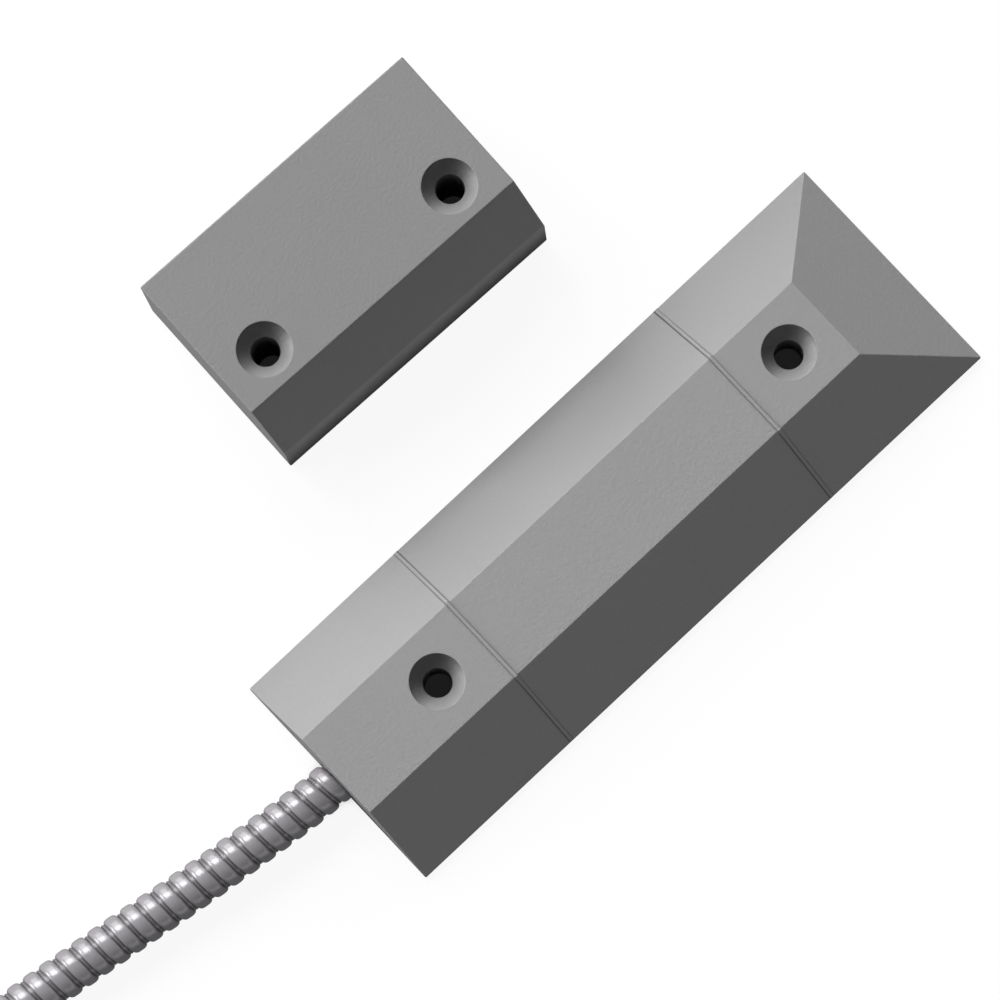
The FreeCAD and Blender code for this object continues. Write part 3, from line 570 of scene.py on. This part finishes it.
draw(across, [entry[0] for entry in STRIP_SECTION])
draw(depth, [entry[1] for entry in STRIP_SECTION])
print("cross-section of", len(STRIP_SECTION), "points")

# %% Carry each point to its place on the route
MERGE_DISTANCE = 0.000002

curve = add(wound, "GeometryNodeMeshToCurve", {"Mesh": wanted["Path"]})
turn_place = maths(wound, "SUBTRACT", maths(wound, "ADD", around, across.outputs[0]), EXTRA_TURNS)
along = maths(wound, "MULTIPLY", maths(wound, "ADD", turn_place, wanted["First Turn"]),
              wanted["Pitch"])
sample = add(wound, "GeometryNodeSampleCurve", {"Curves": curve.outputs[0], "Length": along},
             mode="LENGTH", use_all_curves=False).outputs
angle = maths(wound, "MULTIPLY", around, 2 * math.pi)
side = vector(wound, "CROSS_PRODUCT", {0: sample["Tangent"], 1: sample["Normal"]})
outward = vector(wound, "ADD", {
    0: vector(wound, "SCALE", {0: sample["Normal"], "Scale": maths(wound, "COSINE", angle)}),
    1: vector(wound, "SCALE", {0: side, "Scale": maths(wound, "SINE", angle)})})
sunk = maths(wound, "MULTIPLY", depth.outputs[0], wanted["Groove Depth"])
reach = vector(wound, "SCALE", {
    0: outward, "Scale": maths(wound, "SUBTRACT", wanted["Radius"], sunk)})
target = vector(wound, "ADD", {0: sample["Position"], 1: reach})
marked = add(wound, "GeometryNodeStoreNamedAttribute", {
    "Geometry": grid.outputs["Mesh"], "Name": "groove", "Value": depth.outputs[0]},
    data_type="FLOAT", domain="POINT")
placed = add(wound, "GeometryNodeSetPosition", {
    "Geometry": marked.outputs[0], "Position": target})
joined = add(wound, "GeometryNodeMergeByDistance", {
    "Geometry": placed.outputs[0], "Distance": MERGE_DISTANCE})


def dress(tree, geometry, inlet, outlet):
    """End a geometry tree: smooth shading, Realize Instances, then Set Material."""
    smooth = add(tree, "GeometryNodeSetShadeSmooth", {"Geometry": geometry, "Shade Smooth": True})
    plain = add(tree, "GeometryNodeRealizeInstances", {"Geometry": smooth.outputs[0]})
    dressed = add(tree, "GeometryNodeSetMaterial", {
        "Geometry": plain.outputs[0], "Material": inlet.outputs["Finish"]})
    tree.links.new(dressed.outputs[0], outlet.inputs[0])


dress(wound, joined.outputs[0], into, out)
print("wound strip tree:", len(wound.nodes), "nodes")

# %% Wind the armour
CONDUIT_DIAMETER = 6.5
STRIP_PITCH = 2.76
GROOVE_DEPTH = 0.6
CHECK_EVERY = 97

armour = grown("lead_armour", lead_line, wound, {
    "Length": lead_length, "Radius": CONDUIT_DIAMETER / 2 * MM, "Pitch": STRIP_PITCH * MM,
    "Groove Depth": GROOVE_DEPTH * MM, "First Turn": 0.85, "Steps Around": 26,
    "Steps Across": 16, "Finish": armour_steel})


def face_outwards(piece, path):
    """Turn the faces round if they look towards the path that the piece follows."""
    mesh = piece.data
    score = 0
    for index in range(0, len(mesh.polygons), CHECK_EVERY):
        face = mesh.polygons[index]
        nearest = min(path, key=lambda place: (place - face.center).length_squared)
        score += 1 if face.normal.dot(face.center - nearest) > 0 else -1
    if score < 0:
        mesh.flip_normals()
    print(piece.name, "score", score)


face_outwards(armour, lead_path)
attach(armour, "root")
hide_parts("lead_conduit", "conduit_coil")

# %% [markdown]
# ## The bare cable at the far end
# A grey jacketed cable comes out of the armour through a bush. Beyond it the four coloured cores
# fan out, each with a bared and tinned tip. The cable follows its own short spline with a round
# cross-section, which the Curve to Mesh node sweeps along it.

# %% Geometry tree: a round cord
TAIL_DIAMETER = 3.6

round_cord, into, out = open_tree(
    "round_cord", "GeometryNodeTree",
    [("Path", "NodeSocketGeometry", None), ("Radius", "NodeSocketFloat", 0.0018),
     ("Sides", "NodeSocketInt", 32), ("Finish", "NodeSocketMaterial", None)],
    [("Geometry", "NodeSocketGeometry")])
line = add(round_cord, "GeometryNodeMeshToCurve", {"Mesh": into.outputs["Path"]})
ring = add(round_cord, "GeometryNodeCurvePrimitiveCircle", {
    "Resolution": into.outputs["Sides"], "Radius": into.outputs["Radius"]})
swept = add(round_cord, "GeometryNodeCurveToMesh", {
    "Curve": line.outputs[0], "Profile Curve": ring.outputs[0], "Fill Caps": True})
dress(round_cord, swept.outputs[0], into, out)

jacket = grown("tail_jacket", tail_line, round_cord, {
    "Radius": TAIL_DIAMETER / 2 * MM, "Finish": cable_jacket})
face_outwards(jacket, tail_path)
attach(jacket, "root")
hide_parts("cable_tail")

# %% [markdown]
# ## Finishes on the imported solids
# Each CAD node keeps its shape and gets the finish of its record slot.

# %% Dress the CAD nodes
FINISHES = {"cast_aluminium": cast_metal, "potting_resin": potting_resin,
            "board_laminate": board_laminate, "reed_glass": reed_glass, "reed_metal": reed_metal,
            "solder": solder, "tinned_wire": tinned_wire, "turned_brass": turned_brass,
            "cable_jacket": cable_jacket, "armour_steel": armour_steel,
            "bush_plastic": bush_plastic, "cradle_plastic": cradle_plastic, "ferrite": ferrite,
            **core_finishes}
for entry in frame["record"]["subparts"]:
    node = bpy.data.objects.get(entry["node"])
    if node is None:
        continue
    for slot in node.material_slots:
        slot.material = FINISHES[entry["material_slot"]]

# %% [markdown]
# ## Floor and light
# The photograph has a plain white ground. The floor is pale, and a little light of its own, which
# only the camera and reflections see, takes it to white where the sky reaches it. Under the screw
# holes it stays dark. Five soft lamps light the object: a broad one and a low one beyond the magnet
# unit, as the bright far slope and the dark near slope show, one on each side, and a long low strip
# on the camera's side, which keeps the near slopes from black. The world fills the rest.

# %% Floor
FLOOR_HALF_WIDTH = 3
FLOOR_LEVEL = -0.00005
FLOOR_COLOR = (0.09, 0.09, 0.09, 1)
GLOW_COLOR = (1, 1, 1, 1)
SEEN_GLOW, MIRRORED_GLOW = 0.92, 0.15
SKY_REACH = 0.05
SKY_SAMPLES = 16
SKY_SHARE = (0.16, 0.3)
COVERED_GLOW = 0.01

floor_mesh = bpy.data.meshes.new("floor")
maker = bmesh.new()
for x, y in ((-1, -1), (1, -1), (1, 1), (-1, 1)):
    maker.verts.new((x * FLOOR_HALF_WIDTH, y * FLOOR_HALF_WIDTH, FLOOR_LEVEL))
maker.faces.new(maker.verts[:])
maker.to_mesh(floor_mesh)
maker.free()
floor = bpy.data.objects.new("floor", floor_mesh)
bpy.context.scene.collection.objects.link(floor)
ground = bpy.data.materials.new("white_ground")
ground.use_nodes = True
tree = ground.node_tree
shader = tree.nodes["Principled BSDF"]
shader.inputs["Base Color"].default_value = FLOOR_COLOR
shader.inputs["Roughness"].default_value = 0.9
shader.inputs["Specular IOR Level"].default_value = 0.0
shader.inputs["Emission Color"].default_value = GLOW_COLOR
ray = add(tree, "ShaderNodeLightPath").outputs
mirrored = maths(tree, "MAXIMUM", ray["Is Glossy Ray"], ray["Is Transmission Ray"])
seen = maths(tree, "MAXIMUM", maths(tree, "MULTIPLY", ray["Is Camera Ray"], SEEN_GLOW),
             maths(tree, "MULTIPLY", mirrored, MIRRORED_GLOW))
open_sky = add(tree, "ShaderNodeAmbientOcclusion", {"Distance": SKY_REACH}, samples=SKY_SAMPLES)
openness = ranged(tree, open_sky.outputs["AO"], SKY_SHARE, (COVERED_GLOW, 1.0))
tree.links.new(maths(tree, "MULTIPLY", seen, openness), shader.inputs["Emission Strength"])
floor_mesh.materials.append(ground)
print("floor", 2 * FLOOR_HALF_WIDTH, "m wide")

# %% World and lamps
SKY_COLOR = (0.55, 0.55, 0.56, 1)
SKY_STRENGTH = 0.2
LAMP_DISTANCE = 2.2
LAMP_AIM = Vector((0, 0.02, 0))
# Each lamp: name, compass angle, height angle, width and height in metres, power in watts
LAMPS = [("far_lamp", 90, 48, (1.4, 1.0), 37.0),
         ("far_low_lamp", 90, 20, (1.1, 1.1), 11.0),
         ("cable_side_lamp", 142, 15, (1.1, 1.1), 31.0),
         ("hip_side_lamp", 40, 25, (1.1, 1.1), 18.0),
         ("near_fill", 270, 12, (4.0, 0.8), 8.5)]

world = bpy.data.worlds.new("studio")
world.use_nodes = True
bpy.context.scene.world = world
backdrop = world.node_tree.nodes["Background"]
backdrop.inputs["Color"].default_value = SKY_COLOR
backdrop.inputs["Strength"].default_value = SKY_STRENGTH
for name, azimuth, elevation, size, power in LAMPS:
    lamp = bpy.data.lights.new(name, "AREA")
    lamp.shape = "RECTANGLE"
    lamp.size, lamp.size_y = size
    lamp.energy = power
    holder = bpy.data.objects.new(name, lamp)
    bpy.context.scene.collection.objects.link(holder)
    turn, rise = math.radians(azimuth), math.radians(elevation)
    way = Vector((math.cos(rise) * math.cos(turn), math.cos(rise) * math.sin(turn), math.sin(rise)))
    holder.location = LAMP_AIM + way * LAMP_DISTANCE
    holder.rotation_euler = (-way).to_track_quat("-Z", "Y").to_euler()
    print(name, "from", azimuth, "degrees,", elevation, "up, with", power, "W")
bpy.context.scene.view_settings.view_transform = "Standard"
